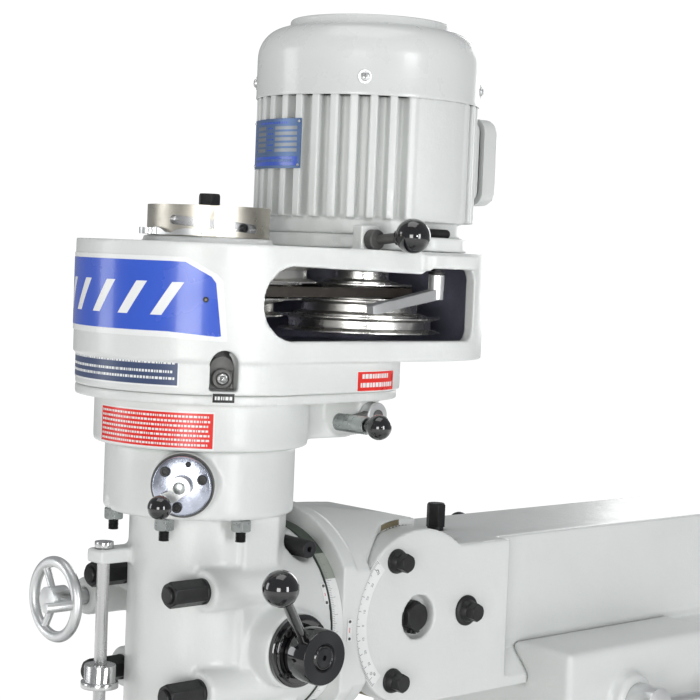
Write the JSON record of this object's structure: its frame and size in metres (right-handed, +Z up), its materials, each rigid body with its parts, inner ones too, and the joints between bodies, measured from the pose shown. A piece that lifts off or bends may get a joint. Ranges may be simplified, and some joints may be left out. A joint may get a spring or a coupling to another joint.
{
  "type": "vertical milling machine",
  "caption": "Turret knee mill with a step-pulley head that nods and tilts, a sliding ram, and a table, saddle and knee on lead screws.",
  "frame": {"origin": "floor level, centre of the four anchor bolts in the base", "axes": "+X to the operator's right, +Y from the operator to the back, +Z up"},
  "size_m": [1.528, 1.5063, 2.15],
  "materials": {
    "machine_paint": "light grey machine enamel over sand-cast iron, satin",
    "ground_steel": "turned and ground steel",
    "bright_steel": "finely turned bright steel",
    "black_oxide": "black oxide, slightly oily",
    "black_lever": "black oxide lever with a glossy black ball knob",
    "cast_alloy": "satin cast and turned aluminium",
    "bare_iron": "bare machined iron",
    "ground_iron": "ground and scraped cast iron, lightly oiled",
    "scale_plate": "white degree scale with fine graduations",
    "label_plates": "printed plates in blue, dark blue and red without lettering",
    "belt_rubber": "worn dark brown-grey belt"
  },
  "bodies": {
    "stand": {"base": "machine_paint", "column": "machine_paint", "elevating_nut": "bare_iron", "electrical_cabinet": "machine_paint"},
    "turret": {"turret": "machine_paint", "turret_bolts": "black_oxide"},
    "ram_lock_front": {"ram_lock_front": "black_lever"},
    "ram_lock_rear": {"ram_lock_rear": "black_lever"},
    "ram_crank": {"ram_crank": "ground_steel"},
    "ram": {"ram": "machine_paint", "nod_fasteners": "black_oxide", "nod_scale": "scale_plate"},
    "nod_worm": {"nod_worm": "black_oxide"},
    "adapter": {"ram_adapter": "machine_paint", "nod_gear": "ground_steel", "tilt_scale": "bright_steel"},
    "head": {"quill_housing": "machine_paint", "gear_housing": "machine_paint", "belt_housing": "machine_paint", "tilt_bolts": "black_oxide", "head_bolts": "ground_steel", "pinion_cap": "black_oxide", "grease_fitting": "bare_iron", "head_plates": "label_plates", "feed_cover": "bright_steel", "stop_screw": "bright_steel", "v_belt": "belt_rubber"},
    "tilt_worm": {"tilt_worm": "black_oxide"},
    "cam_ring": {"cam_ring": "bright_steel"},
    "quill": {"quill": "ground_steel"},
    "spindle": {"spindle": "ground_steel", "drawbar": "black_oxide"},
    "pulley": {"spindle_pulley": "ground_steel", "bull_gear": "bare_iron"},
    "motor": {"motor_frame": "machine_paint", "motor_cowl": "machine_paint", "motor_screws": "ground_steel", "terminal_box": "machine_paint", "motor_mount": "machine_paint"},
    "rotor": {"motor_rotor": "ground_steel", "motor_pulley": "ground_steel", "cooling_fan": "cast_alloy"},
    "tension_lever": {"tension_lever": "black_lever"},
    "motor_lock": {"motor_lock": "cast_alloy"},
    "range_lever": {"range_lever": "cast_alloy"},
    "feed_crank": {"feed_crank": "cast_alloy"},
    "quill_lever": {"quill_lever": "black_lever"},
    "fine_feed_wheel": {"fine_feed_wheel": "cast_alloy"},
    "quill_lock": {"quill_lock": "black_lever"},
    "stop_nut": {"stop_nut": "bright_steel"},
    "knee": {"knee": "machine_paint"},
    "knee_screw": {"knee_screw": "ground_steel"},
    "knee_crank": {"knee_crank": "ground_steel"},
    "knee_lock": {"knee_lock": "black_lever"},
    "saddle": {"saddle": "machine_paint"},
    "saddle_lock": {"saddle_lock": "black_lever"},
    "cross_screw": {"cross_screw": "ground_steel"},
    "table": {"table": "ground_iron"},
    "table_screw": {"table_screw": "ground_steel"},
    "table_lock": {"table_lock": "black_lever"}
  },
  "joints": [
    {"name": "turret_swivel", "type": "hinge", "parent": "stand", "child": "turret", "pos_m": [0, 0.195, 1.2625], "axis": [0, 0, 1], "range_deg": [-180, 180]},
    {"name": "ram_slide", "type": "slide", "parent": "turret", "child": "ram", "axis": [0, 1, 0], "range_m": [-0.27, 0.03]},
    {"name": "ram_crank_turn", "type": "hinge", "parent": "turret", "child": "ram_crank", "pos_m": [0.15, 0.195, 1.4257], "axis": [1, 0, 0], "range_deg": [-96, 860]},
    {"name": "ram_lock_front_turn", "type": "hinge", "parent": "turret", "child": "ram_lock_front", "pos_m": [-0.1644, 0.15, 1.4629], "axis": [1, 0, 0], "range_deg": [0, 60]},
    {"name": "ram_lock_rear_turn", "type": "hinge", "parent": "turret", "child": "ram_lock_rear", "pos_m": [-0.1644, 0.31, 1.4629], "axis": [1, 0, 0], "range_deg": [0, 60]},
    {"name": "head_nod", "type": "hinge", "parent": "ram", "child": "adapter", "pos_m": [0, -0.0747, 1.5349], "axis": [1, 0, 0], "range_deg": [-45, 45]},
    {"name": "nod_worm_turn", "type": "hinge", "parent": "ram", "child": "nod_worm", "pos_m": [0, 0.036, 1.5349], "axis": [0, 0, 1], "range_deg": [-1900, 1900]},
    {"name": "head_tilt", "type": "hinge", "parent": "adapter", "child": "head", "pos_m": [0, -0.205, 1.5349], "axis": [0, 1, 0], "range_deg": [-90, 90]},
    {"name": "tilt_worm_turn", "type": "hinge", "parent": "head", "child": "tilt_worm", "pos_m": [0, -0.215, 1.614], "axis": [1, 0, 0], "range_deg": [-2800, 2800]},
    {"name": "cam_ring_turn", "type": "hinge", "parent": "head", "child": "cam_ring", "pos_m": [0, -0.295, 1.92], "axis": [0, 0, 1], "range_deg": [-90, 0]},
    {"name": "pulley_spin", "type": "hinge", "parent": "head", "child": "pulley", "pos_m": [0, -0.295, 1.85], "axis": [0, 0, 1], "continuous": true},
    {"name": "quill_slide", "type": "slide", "parent": "head", "child": "quill", "axis": [0, 0, 1], "range_m": [-0.127, 0]},
    {"name": "quill_lever_turn", "type": "hinge", "parent": "head", "child": "quill_lever", "pos_m": [0.1, -0.249, 1.524], "axis": [1, 0, 0], "range_deg": [0, 611]},
    {"name": "spindle_spin", "type": "hinge", "parent": "quill", "child": "spindle", "pos_m": [0, -0.295, 1.5], "axis": [0, 0, 1], "continuous": true},
    {"name": "motor_shift", "type": "slide", "parent": "head", "child": "motor", "axis": [0, 1, 0], "range_m": [-0.01, 0]},
    {"name": "tension_lever_turn", "type": "hinge", "parent": "head", "child": "tension_lever", "pos_m": [0.1, -0.174, 1.916], "axis": [1, 0, 0], "range_deg": [0, 60]},
    {"name": "rotor_spin", "type": "hinge", "parent": "motor", "child": "rotor", "pos_m": [0, -0.0917, 2], "axis": [0, 0, 1], "continuous": true},
    {"name": "motor_lock_turn", "type": "hinge", "parent": "head", "child": "motor_lock", "pos_m": [0.11, -0.0917, 1.87], "axis": [0, 0, 1], "range_deg": [0, 50]},
    {"name": "range_lever_turn", "type": "hinge", "parent": "head", "child": "range_lever", "pos_m": [0.105, -0.167, 1.746], "axis": [1, 0, 0], "range_deg": [-10, 30]},
    {"name": "feed_crank_turn", "type": "hinge", "parent": "head", "child": "feed_crank", "pos_m": [0.0771, -0.37624, 1.685], "axis": [0.6884, -0.7254, 0], "range_deg": [-90, 90]},
    {"name": "fine_feed_turn", "type": "hinge", "parent": "head", "child": "fine_feed_wheel", "pos_m": [-0.093, -0.385, 1.555], "axis": [0, 1, 0], "continuous": true},
    {"name": "quill_lock_turn", "type": "hinge", "parent": "head", "child": "quill_lock", "pos_m": [0.08, -0.317, 1.37], "axis": [1, 0, 0], "range_deg": [-40, 20]},
    {"name": "stop_nut_slide", "type": "slide", "parent": "head", "child": "stop_nut", "axis": [0, 0, 1], "range_m": [-0.09, 0.09]},
    {"name": "knee_crank_turn", "type": "hinge", "parent": "knee", "child": "knee_crank", "pos_m": [0, -0.6, 0.685], "axis": [0, 1, 0], "range_deg": [-35443, 11349]},
    {"name": "knee_lift", "type": "slide", "parent": "stand", "child": "knee", "axis": [0, 0, 1], "range_m": [-0.25, 0.08]},
    {"name": "knee_screw_turn", "type": "hinge", "parent": "knee", "child": "knee_screw", "pos_m": [0, -0.2, 0.5], "axis": [0, 0, 1], "range_deg": [-5000, 15500]},
    {"name": "knee_lock_turn", "type": "hinge", "parent": "knee", "child": "knee_lock", "pos_m": [-0.1504, -0.04, 0.64], "axis": [1, 0, 0], "range_deg": [-30, 30]},
    {"name": "cross_screw_turn", "type": "hinge", "parent": "knee", "child": "cross_screw", "pos_m": [0, -0.58, 0.765], "axis": [0, 1, 0], "range_deg": [-10640, 10640]},
    {"name": "saddle_cross", "type": "slide", "parent": "knee", "child": "saddle", "axis": [0, 1, 0], "range_m": [-0.15, 0.15]},
    {"name": "saddle_lock_turn", "type": "hinge", "parent": "saddle", "child": "saddle_lock", "pos_m": [-0.1654, -0.355, 0.83], "axis": [1, 0, 0], "range_deg": [-30, 30]},
    {"name": "table_screw_turn", "type": "hinge", "parent": "table", "child": "table_screw", "pos_m": [0.7, -0.295, 0.884], "axis": [1, 0, 0], "range_deg": [-23396, 23396]},
    {"name": "table_feed", "type": "slide", "parent": "saddle", "child": "table", "axis": [1, 0, 0], "range_m": [-0.33, 0.33]},
    {"name": "table_lock_turn", "type": "hinge", "parent": "saddle", "child": "table_lock", "pos_m": [0.07, -0.4154, 0.865], "axis": [0, 1, 0], "range_deg": [-30, 30]}
  ],
  "couplings": [
    {"joint": "ram_crank_turn", "follows": "ram_slide", "rad_per_m": -55.556},
    {"joint": "nod_worm_turn", "follows": "head_nod", "ratio": 40},
    {"joint": "tilt_worm_turn", "follows": "head_tilt", "ratio": 30},
    {"joint": "quill_slide", "follows": "quill_lever_turn", "m_per_rad": -0.0119},
    {"joint": "spindle_spin", "follows": "pulley_spin", "ratio": 1},
    {"joint": "rotor_spin", "follows": "pulley_spin", "ratio": 1.7708},
    {"joint": "tension_lever_turn", "follows": "motor_shift", "rad_per_m": -104},
    {"joint": "knee_crank_turn", "follows": "knee_lift", "rad_per_m": 2473.7},
    {"joint": "knee_screw_turn", "follows": "knee_lift", "rad_per_m": -1071.9},
    {"joint": "cross_screw_turn", "follows": "saddle_cross", "rad_per_m": 1236.8},
    {"joint": "table_screw_turn", "follows": "table_feed", "rad_per_m": 1236.8}
  ]
}
